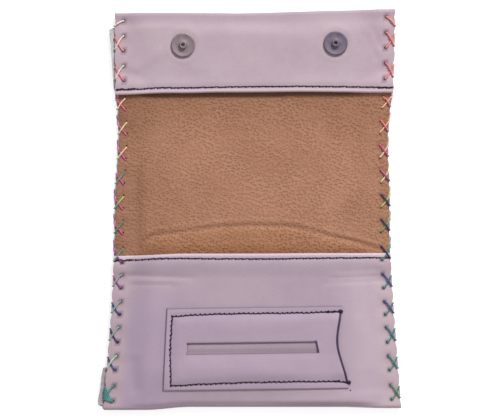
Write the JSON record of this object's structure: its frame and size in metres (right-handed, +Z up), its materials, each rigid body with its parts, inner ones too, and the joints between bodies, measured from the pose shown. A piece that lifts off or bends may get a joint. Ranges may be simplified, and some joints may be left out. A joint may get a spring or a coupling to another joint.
{
  "type": "tobacco case",
  "caption": "Laced leather tobacco case, lying open, with a tobacco pocket, a paper sleeve with a slit, and a flap that closes with magnetic snaps.",
  "frame": {"origin": "on the flat underside of the back panel, on the middle line, midway between the two folds", "axes": "+Y along the open case towards the flap's end, +X to the right with the inside facing up, +Z up out of the inside"},
  "size_m": [0.1776, 0.2334, 0.0107],
  "materials": {
    "lilac_leather": "soft smooth grain, satin",
    "tan_pigskin": "matt, with pores in threes",
    "navy_thread": "twisted sewing thread",
    "lacing_left": "variegated waxed thread",
    "lacing_right": "variegated waxed thread",
    "snap_steel": "brushed, lightly worn",
    "magnet_grey": "matt"
  },
  "bodies": {
    "back": {"shell_back": "lilac_leather", "lining_back": "tan_pigskin", "lacing_left_back": "lacing_left", "lacing_right_back": "lacing_right"},
    "pocket": {"shell_pocket": "lilac_leather", "lining_pocket": "tan_pigskin", "lacing_left_pocket": "lacing_left", "lacing_right_pocket": "lacing_right", "paper_sleeve": "lilac_leather", "mouth_hem_thread": "navy_thread", "sleeve_thread": "navy_thread", "magnet_case_left": "snap_steel", "magnet_left": "magnet_grey", "magnet_prongs_left": "snap_steel", "magnet_washer_left": "snap_steel", "magnet_case_right": "snap_steel", "magnet_right": "magnet_grey", "magnet_prongs_right": "snap_steel", "magnet_washer_right": "snap_steel"},
    "flap": {"shell_flap": "lilac_leather", "lining_flap": "tan_pigskin", "lacing_left_flap": "lacing_left", "lacing_right_flap": "lacing_right", "flap_hem_thread": "navy_thread", "snap_cap_left": "snap_steel", "snap_cap_prongs_left": "snap_steel", "snap_cap_washer_left": "snap_steel", "snap_cap_right": "snap_steel", "snap_cap_prongs_right": "snap_steel", "snap_cap_washer_right": "snap_steel"}
  },
  "joints": [
    {"name": "pocket_fold", "type": "hinge", "parent": "back", "child": "pocket", "pos_m": [0, -0.0443, 0.00685], "axis": [-1, 0, 0], "range_deg": [0, 180]},
    {"name": "flap_fold", "type": "hinge", "parent": "back", "child": "flap", "pos_m": [0, 0.0443, 0.0108], "axis": [1, 0, 0], "range_deg": [0, 180]}
  ]
}
